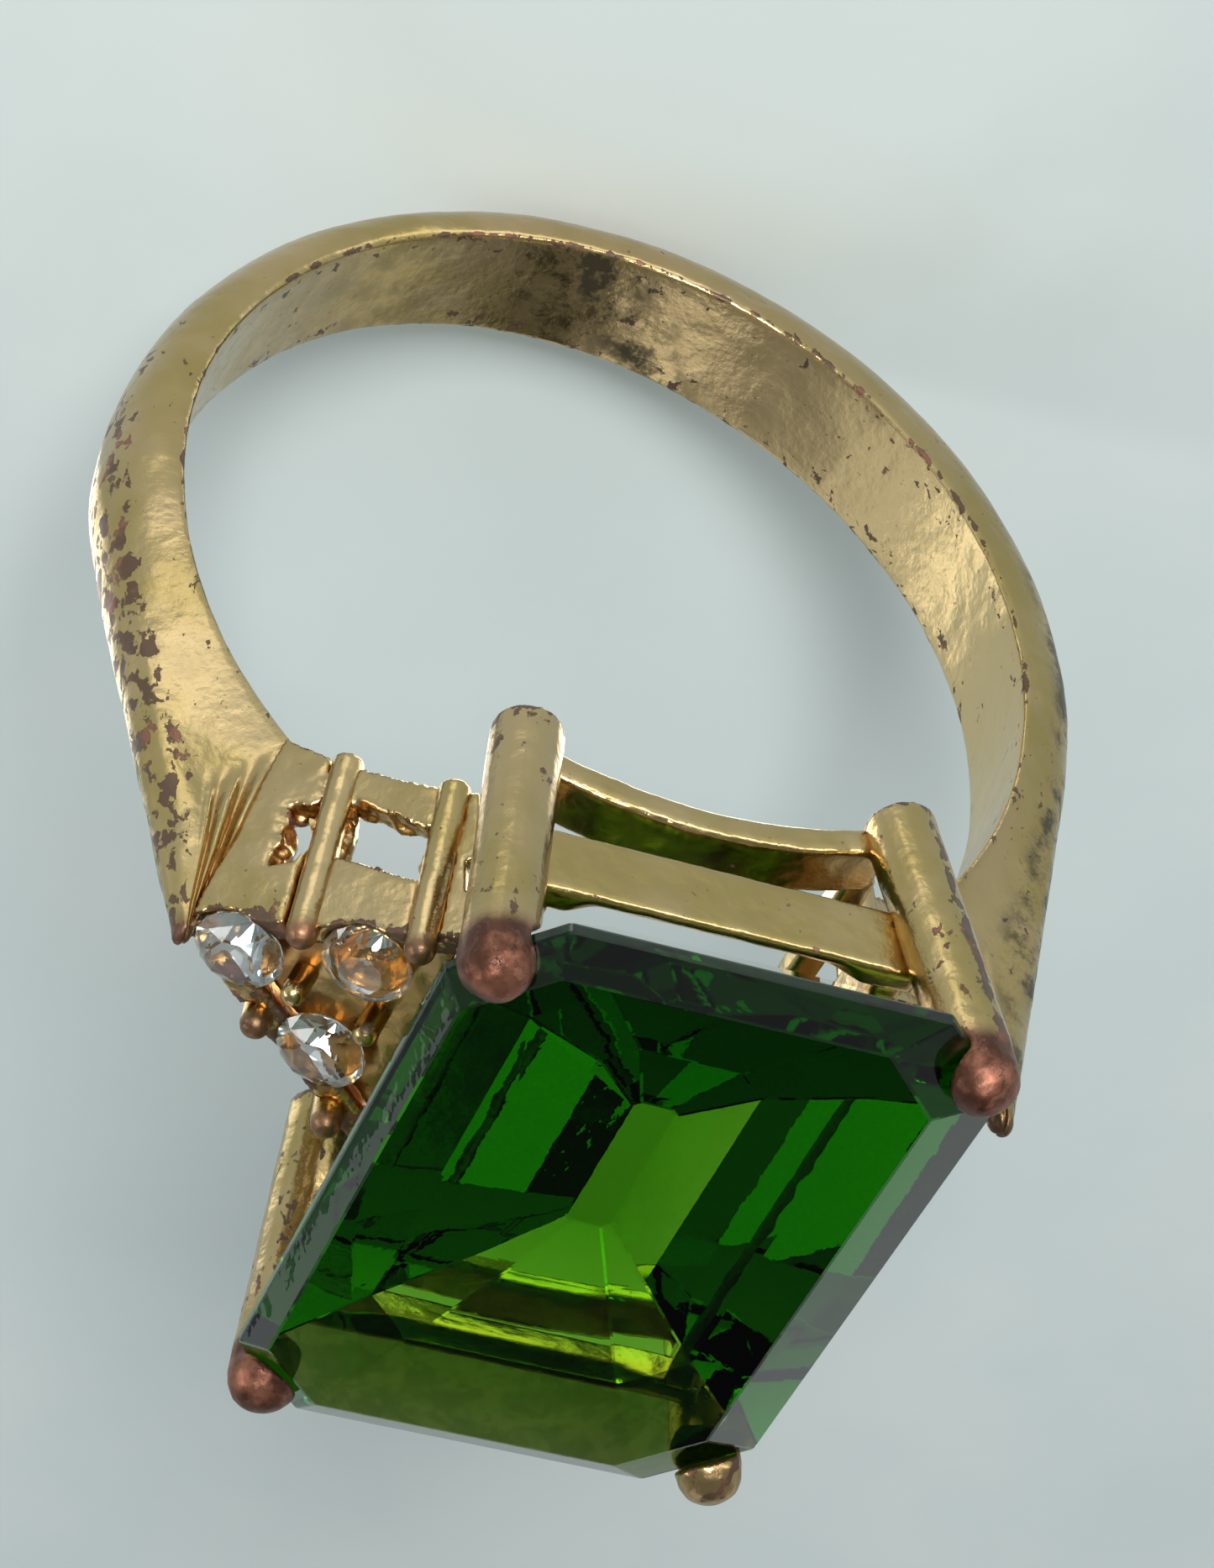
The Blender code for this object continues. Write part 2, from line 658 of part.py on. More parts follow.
def build_finger_hole():
    """Cutter the size of the finger hole."""
    shape = bmesh.new()
    turn = Matrix.Rotation(math.pi / 2, 4, "X")
    bmesh.ops.create_cone(
        shape, cap_ends=True, segments=96, radius1=1.0, radius2=1.0, depth=20 * MM, matrix=turn
    )
    bmesh.ops.scale(shape, vec=(HOLE_HALF_WIDTH, 1.0, HOLE_HALF_HEIGHT), verts=shape.verts)
    mesh = bpy.data.meshes.new("finger_hole")
    shape.to_mesh(mesh)
    shape.free()
    return add_object("finger_hole", mesh, CUTTERS)


clear_scene()
CUTTERS = new_collection("cutters", hidden=True)
PARTS = new_collection("cocktail_ring")
FINGER_HOLE = build_finger_hole()
SEATS = build_seat_cutters()
POST_CUTTERS = build_post_cutters()
STONE_CLEARANCE = build_centre_stone()
BAR_CUTTERS = build_bars()
build_shank()
build_walls()
build_plates()
build_beads()
build_accent_stones()
build_posts()
build_rails()
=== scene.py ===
"""Finished look of the cocktail ring: cast and worn metal pieces, cut stones, floor, light and camera.

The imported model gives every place. Lengths are in metres, +Z runs from the finger to the centre
stone, +Y along the finger and X across. "near" is +Y and "left" is -X, as in the model's names.
"""

import math

import bmesh
import bpy
import numpy as np
from mathutils import Matrix, Vector, noise


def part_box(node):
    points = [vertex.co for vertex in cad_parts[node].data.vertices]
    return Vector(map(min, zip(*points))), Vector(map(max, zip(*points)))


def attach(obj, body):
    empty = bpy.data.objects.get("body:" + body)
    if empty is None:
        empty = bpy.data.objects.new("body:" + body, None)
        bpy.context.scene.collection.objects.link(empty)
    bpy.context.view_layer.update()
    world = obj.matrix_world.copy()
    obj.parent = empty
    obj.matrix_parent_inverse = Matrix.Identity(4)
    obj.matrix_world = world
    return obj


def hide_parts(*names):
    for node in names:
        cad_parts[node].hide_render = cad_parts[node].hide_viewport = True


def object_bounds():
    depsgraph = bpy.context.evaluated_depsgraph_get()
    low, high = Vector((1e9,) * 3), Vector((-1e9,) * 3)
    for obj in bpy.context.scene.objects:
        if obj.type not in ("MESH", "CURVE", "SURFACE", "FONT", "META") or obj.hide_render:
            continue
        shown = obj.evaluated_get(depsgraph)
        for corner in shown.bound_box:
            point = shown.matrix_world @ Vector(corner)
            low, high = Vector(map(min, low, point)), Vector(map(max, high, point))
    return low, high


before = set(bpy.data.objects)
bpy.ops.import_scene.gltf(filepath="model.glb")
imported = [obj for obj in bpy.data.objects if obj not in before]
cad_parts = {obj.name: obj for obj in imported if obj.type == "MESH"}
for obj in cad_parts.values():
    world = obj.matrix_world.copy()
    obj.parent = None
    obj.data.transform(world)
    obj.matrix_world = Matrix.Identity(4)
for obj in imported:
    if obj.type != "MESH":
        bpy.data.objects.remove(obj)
CAD_LOW, CAD_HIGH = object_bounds()
MM = 0.001

# Finger hole and band, as in the model
HOLE_HALF_WIDTH = 8.75 * MM
HOLE_HALF_HEIGHT = 9.45 * MM
BAND_HALF_WIDTH = 1.38 * MM
BACK_THICKNESS = 1.60 * MM
SIDE_THICKNESS = 1.42 * MM
BAND_SKEW = 0.22 * MM  # the band is bent: thicker at the right of its back, thinner at the left
BAND_WIDTH_SKEW = 0.08 * MM  # and wider there
BAND_FULLNESS = 2.6  # 2 is a half-round section, and more is squarer
INNER_EDGE = 0.12 * MM

# Horns of the shank
WALL_START = 8.0 * MM
WALL_ANGLE = math.radians(35)
SEAM_FOOT_X = 6.40 * MM
SEAM_TOP = Vector((7.72 * MM, 10.45 * MM))
RIDGE_TURN = 1.5 * MM
RIDGE_AT_SEAM = 7.30 * MM
TIP = Vector((8.12 * MM, 10.65 * MM))
TIP_HALF_WIDTH = 0.30 * MM
SCOOP = 0.10 * MM  # how hollow the horn's faces are
CREASE_HALF_WIDTH = 0.58 * MM
# The next values are shares of the way out from the finger hole or the seam to the outer ridge
CREASE_AT_FOOT = 0.80
CREASE_AT_FLUTES = 0.58
FLUTE_SPACING = 0.23
FLUTES_END = (0.46, 0.60)
FLUTE_DEPTH = 0.20 * MM

# Accent stones
ACCENT_SLOPE = math.radians(21.8)
ACCENT_RADIUS = 0.85 * MM
ACCENT_POINT = 0.85 * MM
# Rings of corners: radius as a share of the stone's, height, number of corners, turn
ACCENT_CUT = (
    (0.50, 0.35 * MM, 8, 0.0),
    (0.82, 0.20 * MM, 8, math.pi / 8),
    (1.00, 0.04 * MM, 16, 0.0),
    (1.00, 0.0, 16, 0.0),
    (0.45, -0.52 * MM, 8, math.pi / 8),
)

# Centre stone
STONE_CORNER = 1.6 * MM
TABLE_CORNER = 1.3 * MM
GIRDLE_HEIGHT = 14.94 * MM
GIRDLE_HALF_THICKNESS = 0.10 * MM
WORN_EDGE = 0.03 * MM
TABLE_INSETS = {"left": 0.35 * MM, "right": 1.25 * MM, "far": 0.95 * MM, "near": 0.55 * MM}
PAVILION_DEPTHS = (2.10 * MM, 3.60 * MM, 4.50 * MM)
PAVILION_INSETS = {
    "left": (2.10 * MM, 3.95 * MM, 5.10 * MM),
    "right": (1.70 * MM, 3.05 * MM, 4.05 * MM),
    "far": (1.68 * MM, 3.35 * MM, 4.60 * MM),
    "near": (2.10 * MM, 4.10 * MM, 5.90 * MM),
}

# Worn streak down the right posts: where round the post it lies, from +X towards +Y, and how wide it is
STREAK_TURN = 1.15
STREAK_WIDTH = 0.22

# Claws
CLAW_LENGTH = 1.5 * MM
CLAW_FLAT_AT = 0.52 * MM  # how far from the ball's middle the flat starts
CLAW_FLATNESS = 0.75

# How far pieces of one casting run into each other
WALL_OVERLAP = 0.18 * MM
RAIL_OVERLAP = 0.16 * MM

# Camera: where it aims, how far off it stands, and its angles about the vertical
CAMERA_AIM = Vector((-0.07, 0.69, 5.16)) * MM
CAMERA_DISTANCE = 84 * MM
CAMERA_AZIMUTH = math.radians(112.6)
CAMERA_ELEVATION = math.radians(43.09)
CAMERA_ROLL = math.radians(-178.2)
CAMERA_LENS = 102.7

# Room: how bright it is at the horizon and overhead, and the dark corner that the stone's table mirrors
HORIZON = 0.85
OVERHEAD = 0.28
ROOM_COLOUR = (0.93, 1.0, 1.0)
DARK_CORNER = (0.28, -0.67, 0.68)
DARK_CORNER_EDGE = (0.93, 0.985)  # cosines of the angles at which the corner starts and is fully dark
DARK_CORNER_LIGHT = 0.10

# Floor
FLOOR_HALF_SIZE = 0.5
FLOOR_GAP = 0.05 * MM
FLOOR_COLOURS = ((0.60, 0.68, 0.68), (0.65, 0.72, 0.72))


# Meshes


def between(a, b, share):
    return a + (b - a) * share


def smooth_step(low, high, value):
    share = np.clip((value - low) / (high - low), 0, 1)
    return share * share * (3 - 2 * share)


def signs(side, row):
    """Directions of X and Y towards a corner of the ring."""
    return -1 if side == "left" else 1, 1 if row == "near" else -1


def new_object(name, mesh):
    obj = bpy.data.objects.new(name, mesh)
    bpy.context.scene.collection.objects.link(obj)
    return obj


def apply_modifiers(obj):
    graph = bpy.context.evaluated_depsgraph_get()
    mesh = bpy.data.meshes.new_from_object(obj.evaluated_get(graph))
    obj.modifiers.clear()
    obj.data = mesh


def points_of(mesh):
    points = np.empty(len(mesh.vertices) * 3, np.float32)
    mesh.vertices.foreach_get("co", points)
    return points.reshape(-1, 3)


def normals_of(mesh):
    normals = np.empty(len(mesh.vertices) * 3, np.float32)
    mesh.vertex_normals.foreach_get("vector", normals)
    return normals.reshape(-1, 3)


def set_points(mesh, points):
    mesh.vertices.foreach_set("co", points.astype(np.float32).ravel())
    mesh.update()


def lumps(points, size, seed):
    """Smooth noise from -1 to 1 at each point, with bumps of about this size."""
    shift = Vector((17.3, -9.1, 4.7)) * seed
    return np.array([noise.noise(Vector(point) / size + shift) for point in points.tolist()])


def push_out(obj, distance):
    """Moves every vertex along its normal. The distance is one value or one for each vertex."""
    mesh = obj.data
    distance = np.broadcast_to(np.asarray(distance, float), len(mesh.vertices))
    set_points(mesh, points_of(mesh) + normals_of(mesh) * distance[:, None])


def edge_convexity(mesh, rounds=3):
    """How far each vertex stands out from its neighbours: above 0 on edges, below 0 in creases."""
    points, normals = points_of(mesh), normals_of(mesh)
    ends = np.empty(len(mesh.edges) * 2, np.int32)
    mesh.edges.foreach_get("vertices", ends)
    first, second = ends.reshape(-1, 2).T
    step = points[first] - points[second]
    step /= np.maximum(np.linalg.norm(step, axis=1), 1e-9)[:, None]
    count = np.bincount(ends, minlength=len(points)).clip(1)
    lean = np.bincount(first, (normals[first] * step).sum(1), len(points))
    lean -= np.bincount(second, (normals[second] * step).sum(1), len(points))
    lean /= count
    for _ in range(rounds):
        total = np.bincount(first, lean[second], len(points))
        total += np.bincount(second, lean[first], len(points))
        lean = (lean + total / count) / 2
    return lean


def paint(obj, name, values):
    """Stores one value for each vertex, which the material reads by name."""
    layer = obj.data.attributes.new(name, "FLOAT", "POINT")
    layer.data.foreach_set("value", np.asarray(values, np.float32))


def paint_wear(obj, extra=0.0, darkening=0.0):
    """Worn edges and creases from the shape, plus extra wear and darkening from where a point is; the
    creases and the darkening turn amber in the material, as grime and painted shade.
    """
    lean = edge_convexity(obj.data)
    scale = np.percentile(np.abs(lean), 98) + 1e-6
    paint(obj, "wear", np.clip(lean / scale, 0, 1) * 0.6 + extra)
    paint(obj, "crease", np.clip(-lean / scale + darkening, 0, 1))


def shade_smooth(obj, angle=60):
    obj.data.shade_smooth()
    obj.data.set_sharp_from_angle(angle=math.radians(angle))


def soften(obj, iterations):
    """Adds smoothing, which rounds edges off."""
    smooth = obj.modifiers.new("soften", "SMOOTH")
    smooth.factor = 0.5
    smooth.iterations = iterations


def recast(node, voxel=0.05 * MM, softness=4, grow=0.035 * MM, lump=0.012 * MM):
    """Copy of a CAD node as it would leave a mould: rounded edges, an uneven skin and no open seams."""
    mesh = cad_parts[node].data.copy()
    mesh.materials.clear()
    obj = new_object("cast_" + node, mesh)
    remesh = obj.modifiers.new("remesh", "REMESH")
    remesh.mode = "VOXEL"
    remesh.voxel_size = voxel
    soften(obj, softness)
    apply_modifiers(obj)
    seed = 1 + sum(map(ord, node)) % 13
    points = points_of(obj.data)
    push_out(obj, grow + lump * lumps(points, 0.45 * MM, seed))
    shade_smooth(obj)
    return obj


def reach_out(obj, distance, axis=0):
    """Stretches a piece along one axis so that it runs into its neighbours, as in one casting."""
    points = points_of(obj.data)
    out = np.abs(points[:, axis])
    sign = np.sign(points[:, axis])
    points[:, axis] += sign * distance * smooth_step(out.min(), out.max(), out)
    set_points(obj.data, points)


def finish_piece(obj, material, node):
    """Puts the piece in the place of its CAD node."""
    obj.data.materials.clear()
    obj.data.materials.append(material)
    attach(obj, "root")
    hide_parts(node)


# Materials


def add_node(tree, kind, **settings):
    node = tree.nodes.new(kind)
    for name, value in settings.items():
        setattr(node, name, value)
    return node


class Shading:
    """A Principled material whose nodes are added one by one."""

    def __init__(self, name):
        self.material = bpy.data.materials.new(name)
        self.material.use_nodes = True
        self.tree = self.material.node_tree
        self.shader = self.tree.nodes["Principled BSDF"]
        self.output = self.tree.nodes["Material Output"]
        coordinates = add_node(self.tree, "ShaderNodeTexCoord")
        scale = add_node(self.tree, "ShaderNodeMapping")
        scale.inputs["Scale"].default_value = (1 / MM, 1 / MM, 1 / MM)
        self.link(coordinates.outputs["Object"], scale.inputs["Vector"])
        self.place = scale.outputs["Vector"]

    def link(self, source, socket):
        self.tree.links.new(source, socket)

    def put(self, value, socket):
        """Links an output, or sets a plain value."""
        if isinstance(value, bpy.types.NodeSocket):
            self.link(value, socket)
        else:
            socket.default_value = value

    def noise(self, per_mm, detail=4.0, roughness=0.6, distortion=0.0, stretch=(1, 1, 1)):
        place = self.place
        if stretch != (1, 1, 1):
            mapping = add_node(self.tree, "ShaderNodeMapping")
            mapping.inputs["Scale"].default_value = stretch
            self.link(self.place, mapping.inputs["Vector"])
            place = mapping.outputs["Vector"]
        node = add_node(self.tree, "ShaderNodeTexNoise")
        self.link(place, node.inputs["Vector"])
        node.inputs["Scale"].default_value = per_mm
        node.inputs["Detail"].default_value = detail
        node.inputs["Roughness"].default_value = roughness
        node.inputs["Distortion"].default_value = distortion
        return node.outputs["Fac"]

    def attribute(self, name):
        return add_node(self.tree, "ShaderNodeAttribute", attribute_name=name).outputs["Fac"]

    def math(self, operation, a, b):
        node = add_node(self.tree, "ShaderNodeMath", operation=operation)
        for value, socket in zip((a, b), node.inputs):
            self.put(value, socket)
        return node.outputs[0]

    def times(self, a, b):
        return self.math("MULTIPLY", a, b)

    def plus(self, a, b):
        return self.math("ADD", a, b)

    def ramp(self, value, low, high, start=0.0, end=1.0):
        """Maps low..high smoothly to start..end."""
        node = add_node(self.tree, "ShaderNodeMapRange", interpolation_type="SMOOTHSTEP")
        for name, number in (("From Min", low), ("From Max", high), ("To Min", start), ("To Max", end)):
            node.inputs[name].default_value = number
        self.link(value, node.inputs["Value"])
        return node.outputs[0]

    def mix(self, share, a, b):
        node = add_node(self.tree, "ShaderNodeMix", data_type="RGBA")
        self.put(share, node.inputs[0])
        for value, socket in ((a, node.inputs[6]), (b, node.inputs[7])):
            self.put((*value, 1.0) if isinstance(value, tuple) else value, socket)
        return node.outputs[2]

    def bump(self, height, distance, normal=None):
        node = add_node(self.tree, "ShaderNodeBump")
        node.inputs["Distance"].default_value = distance
        self.link(height, node.inputs["Height"])
        if normal is not None:
            self.link(normal, node.inputs["Normal"])
        return node.outputs["Normal"]

    def occlusion(self, distance):
        node = add_node(self.tree, "ShaderNodeAmbientOcclusion", samples=4)
        node.inputs["Distance"].default_value = distance
        return node.outputs["AO"]


# Colours of the metal, of what lies on it, and of the painted shade and sheen on it
CHAMPAGNE = (0.47, 0.345, 0.178)
OLIVE = (0.385, 0.285, 0.110)
# Lighter gold inside the band: cleaner metal and a painted sheen
CLEAN_SHEEN_GOLD = (0.64, 0.475, 0.240)
# Amber in the creases: grime and painted shade
AMBER = (0.47, 0.21, 0.05)
BROWN = (0.095, 0.056, 0.034)
COPPER = (0.24, 0.098, 0.060)
OLD_COPPER = (0.075, 0.029, 0.018)
STAIN = (0.050, 0.042, 0.020)

# Colours of the stones, their foil backs and the painted shade on the centre stone's far facets
GREEN_TINT = (0.53, 0.81, 0.02)
BACK_SHADE_TONES = ((0.055, 0.050, 0.016), (0.030, 0.032, 0.010))
SILVERED = (0.64, 0.71, 0.74)
FOIL_DIRT = (0.40, 0.38, 0.30)


def gold_with_grime_and_shade(look, amber):
    """Pale gold in two tones, lighter where the metal is cleaner and where a painted sheen lies, with
    amber in the creases as grime and painted shade.
    """
    tone = look.ramp(look.noise(0.35, 3), 0.35, 0.65)
    colour = look.mix(look.attribute("clean_and_sheen"), look.mix(tone, CHAMPAGNE, OLIVE), CLEAN_SHEEN_GOLD)
    # Painted shade: amber where ambient occlusion finds the surface hidden and where the crease attribute
    # is high; it stands for grime as well.
    shaded = look.ramp(look.occlusion(0.9 * MM), 0.25, 0.80, 1.0, 0.0)
    shaded = look.math("MAXIMUM", shaded, look.times(look.attribute("crease"), 0.6))
    shaded = look.times(shaded, look.ramp(look.noise(3.0), 0.25, 0.75, 0.55 * amber, amber))
    return look.mix(shaded, colour, AMBER)


def torn_plating(look, chips, flake):
    """Where the plating has flaked off, and the dark rim round it. Higher chips leave more plating."""
    flakes = look.noise(flake, 5, 0.58, 0.3, (1, 1, 0.7))
    torn = look.plus(flakes, look.times(look.attribute("wear"), 0.24))
    torn = look.plus(torn, look.times(look.noise(0.55, 2, 0.5), 0.30))
    chip = look.ramp(torn, chips + 0.30, chips + 0.315)
    rim = look.math("SUBTRACT", look.ramp(torn, chips + 0.285, chips + 0.30), chip)
    return chip, rim


def plating(name, roughness, chips, amber=0.75, flake=2.8):
    """Pale gold plating over copper, chipped where the wear is high and amber in the creases."""
    look = Shading(name)
    shader = look.shader
    colour = gold_with_grime_and_shade(look, amber)
    chip, rim = torn_plating(look, chips, flake)
    bare = look.mix(look.ramp(look.noise(0.9), 0.54, 0.62, 0.0, 0.7), BROWN, COPPER)
    colour = look.mix(look.times(rim, 0.6), colour, BROWN)
    colour = look.mix(chip, colour, bare)

    stain = look.times(look.attribute("stain"), look.ramp(look.noise(1.3, 6, 0.68), 0.40, 0.60))
    colour = look.mix(stain, colour, STAIN)
    specks = look.ramp(look.noise(7.0, 3, 0.5), 0.70, 0.73)
    colour = look.mix(look.times(specks, 0.5), colour, BROWN)

    copper = look.attribute("copper")
    mottled = look.mix(look.ramp(look.noise(1.1, 5, 0.65), 0.36, 0.58), COPPER, OLD_COPPER)
    look.link(look.mix(copper, colour, mottled), shader.inputs["Base Color"])

    dull = look.math("MAXIMUM", chip, look.math("MAXIMUM", stain, look.times(copper, 0.4)))
    look.link(look.math("SUBTRACT", 1.0, look.times(dull, 0.45)), shader.inputs["Metallic"])
    gloss = look.ramp(look.noise(1.6, 5), 0.2, 0.8, roughness - 0.05, roughness + 0.07)
    gloss = look.plus(gloss, look.times(copper, 0.12))
    look.link(look.plus(gloss, look.times(dull, 0.20)), shader.inputs["Roughness"])

    waves = look.bump(look.noise(0.9, 3, 0.5), 0.07 * MM)
    grain = look.bump(look.noise(6.0, 5, 0.6), 0.012 * MM, waves)
    look.link(look.bump(look.math("SUBTRACT", 1.0, chip), 0.02 * MM, grain), shader.inputs["Normal"])
    return look.material


def glass(name, index, tint=None, density=0):
    """Clear glass. A tint is the colour that white light turns, and the density sets over what depth.

    Facets marked for it get dark patches in their colour: painted shade for the dark metal seen through
    them.
    """
    look = Shading(name)
    shader = look.shader
    shader.inputs["Transmission Weight"].default_value = 1.0
    shader.inputs["IOR"].default_value = index
    shader.inputs["Roughness"].default_value = 0.0
    patches = look.mix(look.ramp(look.noise(1.5, 4, 0.6, 0.4), 0.42, 0.58), *BACK_SHADE_TONES)
    look.link(look.mix(look.attribute("back_shade"), (1, 1, 1), patches), shader.inputs["Base Color"])
    if tint:
        inside = add_node(look.tree, "ShaderNodeVolumeAbsorption")
        inside.inputs["Color"].default_value = (*tint, 1.0)
        inside.inputs["Density"].default_value = density
        look.link(inside.outputs["Volume"], look.output.inputs["Volume"])
    scratches = look.bump(look.noise(1.2, 3, 0.5), 0.003 * MM)
    look.link(scratches, shader.inputs["Normal"])
    return look.material


def mirror_foil(name):
    """The silvered back of a paste stone."""
    look = Shading(name)
    look.shader.inputs["Metallic"].default_value = 0.6
    look.shader.inputs["Roughness"].default_value = 0.08
    darkening = look.ramp(look.noise(1.4, 4, 0.6), 0.52, 0.75)
    look.link(look.mix(darkening, SILVERED, FOIL_DIRT), look.shader.inputs["Base Color"])
    return look.material


# Shank


def hole_height(x):
    """Height of the finger hole's rim above its centre, at a place across the ring."""
    return HOLE_HALF_HEIGHT * math.sqrt(1 - (x / HOLE_HALF_WIDTH) ** 2)


def climb(height):
    """Bends smoothly from level into a straight climb."""
    return math.hypot(height, RIDGE_TURN) - RIDGE_TURN


def ridge_x(height):
    """Outer ridge: upright beside the finger, then a straight lean inwards to the tip."""
    return between(HOLE_HALF_WIDTH + SIDE_THICKNESS, TIP.x, climb(height) / climb(TIP.y))


def wall_half_width(x):
    """Half the shoulder's width along the finger, where its two walls have opened like a V."""
    return (WALL_START - x) * math.tan(WALL_ANGLE)


def band_station(angle):
    """Inner and outer point of the band on the +X side, with the angle measured from the back."""
    sine, cosine = math.sin(angle), math.cos(angle)
    inner = Vector((HOLE_HALF_WIDTH * sine, -HOLE_HALF_HEIGHT * cosine))
    outward = Vector((sine / HOLE_HALF_WIDTH, -cosine / HOLE_HALF_HEIGHT)).normalized()
    thickness = between(BACK_THICKNESS, SIDE_THICKNESS, sine**2)
    return inner, inner + outward * thickness, outward


def flutes(along):
    """Height of the ridges across the horn, as a share of their depth."""
    ripple = 0.5 - 0.5 * np.cos(2 * math.pi * np.asarray(along) / FLUTE_SPACING)
    return ripple * (1 - smooth_step(*FLUTES_END, along))


def section(inner, outer, half_width, horn, fluted):
    """Half of the closed outline across the shank: (share of the way out, distance from the middle)."""
    span = (outer - inner).length
    edge = min(INNER_EDGE, half_width / 2)
    outline = [(0.0, (half_width - edge) * i / 4) for i in range(5)]
    for angle in (22.5, 45, 67.5):
        turn = math.radians(angle)
        outline.append(((1 - math.cos(turn)) * edge / span, half_width - edge * (1 - math.sin(turn))))
    crease = min(CREASE_HALF_WIDTH, half_width)
    crease_at = between(CREASE_AT_FOOT, CREASE_AT_FLUTES, fluted)
    steps = 64
    for i in range(1, steps):
        along = edge / span + (1 - edge / span) * math.sin(math.radians(90 * i / steps))
        round_side = half_width * math.sqrt(max(0.0, 1 - along**BAND_FULLNESS))
        if along < crease_at:
            share = along / crease_at
            blade = between(half_width, crease, share) - SCOOP * math.sin(math.pi * share)
        else:
            past = (along - crease_at) / (1 - crease_at)
            blade = crease * math.sqrt(max(0.0, 1 - past**1.8))
        blade += fluted * FLUTE_DEPTH * float(flutes(along)) * min(1.0, 1.6 * half_width / MM)
        outline.append((along, between(round_side, blade, horn)))
    return outline


def horn_stations():
    """(inner, outer, half width, blade share, flute share, height share) up the horn, on the +X side."""
    stations = []
    seam_angle = math.pi - math.asin(SEAM_FOOT_X / HOLE_HALF_WIDTH)
    seam_foot = Vector((SEAM_FOOT_X, hole_height(SEAM_FOOT_X)))
    foot_width = wall_half_width(SEAM_FOOT_X)
    steps = 40
    for i in range(1, steps + 1):
        share = i / steps
        inner = band_station(between(math.pi / 2, seam_angle, share))[0]
        height = RIDGE_AT_SEAM * share
        outer = Vector((ridge_x(height), height))
        width = between(BAND_HALF_WIDTH, foot_width, share)
        stations.append((inner, outer, width, share, 0.0, share))
    for i in range(1, steps + 1):
        share = i / steps
        inner = between(seam_foot, SEAM_TOP, share)
        height = between(RIDGE_AT_SEAM, TIP.y, share)
        outer = Vector((ridge_x(height), height))
        width = max(wall_half_width(inner.x), TIP_HALF_WIDTH)
        fluted = float(smooth_step(0.0, 0.35, share))
        stations.append((inner, outer, width, 1.0, fluted, 1 + share))
    middle = (SEAM_TOP + TIP) / 2
    for i in range(1, 6):
        turn = math.radians(90 * i / 6)
        lift = Vector((0.0, TIP_HALF_WIDTH)) * math.sin(turn)
        inner = middle + (SEAM_TOP - middle) * math.cos(turn) + lift
        outer = middle + (TIP - middle) * math.cos(turn) + lift
        stations.append((inner, outer, TIP_HALF_WIDTH * math.cos(turn), 1.0, 1.0, 2.0))
    return stations


def shank_stations():
    """(side, station) all the way round, from the left tip over the back of the band to the right tip."""
    horn = horn_stations()
    stations = [(-1, station) for station in reversed(horn)]
    steps = 110
    for i in range(-steps, steps + 1):
        angle = math.pi / 2 * i / steps
        inner, outer, outward = band_station(abs(angle))
        outer = outer + outward * BAND_SKEW * math.sin(2 * angle)
        width = BAND_HALF_WIDTH + BAND_WIDTH_SKEW * math.sin(2 * angle)
        stations.append((-1 if i < 0 else 1, (inner, outer, width, 0.0, 0.0, -1 + abs(i) / steps)))
    return stations + [(1, station) for station in horn]


def skin_over(rings, name):
    """Closed mesh through rings of points that all have the same count."""
    count = len(rings[0])
    faces = []
    for i in range(len(rings) - 1):
        for j in range(count):
            k = (j + 1) % count
            faces.append((i * count + j, i * count + k, (i + 1) * count + k, (i + 1) * count + j))
    faces.append(tuple(range(count)))
    faces.append(tuple((len(rings) - 1) * count + j for j in range(count)))
    mesh = bpy.data.meshes.new(name)
    mesh.from_pydata(np.array(rings).reshape(-1, 3).tolist(), [], faces)
    shape = bmesh.new()
    shape.from_mesh(mesh)
    bmesh.ops.recalc_face_normals(shape, faces=shape.faces)
    shape.to_mesh(mesh)
    shape.free()
    return new_object(name, mesh)


def paint_shank(obj, points, along, height):
    """Wear, amber down the flutes as grime and painted shade, a lighter inside as cleaner metal and
    painted sheen, and stains. along is the share of the way out, and height grows up the horns past 1.
    """
    x, y, z = points.T
    left = smooth_step(0.0, -6 * MM, x)
    outer_strip = smooth_step(0.60, 0.75, along) * smooth_step(-7 * MM, 0.0, z) * left
    inner_edge = np.exp(-(((along - 0.035) / 0.035) ** 2)) * (np.abs(y) > 0.8 * MM)
    crown = smooth_step(3 * MM, -3 * MM, z)
    tip = smooth_step(10.2 * MM, 10.8 * MM, z)
    paint(obj, "wear", inner_edge * between(0.35, 0.95, crown) + 0.62 * outer_strip + 0.8 * tip)
    paint(obj, "copper", tip * 0.7)

    # Amber down the flutes' grooves: grime and painted shade.
    fluted = smooth_step(1.0, 1.3, np.abs(height)) * (1 - smooth_step(*FLUTES_END, along))
    paint(obj, "crease", 0.7 * fluted * np.clip(1 - 3 * flutes(along), 0, 1))

    inside = along < 0.02
    # Inside of the band lighter towards the right: cleaner metal and a painted sheen.
    paint(obj, "clean_and_sheen", inside * smooth_step(-2 * MM, 4 * MM, x))
    across = (x - 0.8 * MM + 0.9 * y) / (1.3 * MM)
    stain = np.exp(-(across**2)) + 0.40 * np.exp(-(((x + 3 * MM) / (3.5 * MM)) ** 2))
    tarnish = smooth_step(6 * MM, 9 * MM, x) * smooth_step(0.35, 0.7, along)
    tarnish *= smooth_step(-8 * MM, -1 * MM, z)
    paint(obj, "stain", stain * inside * (z < 0) + 1.1 * tarnish)


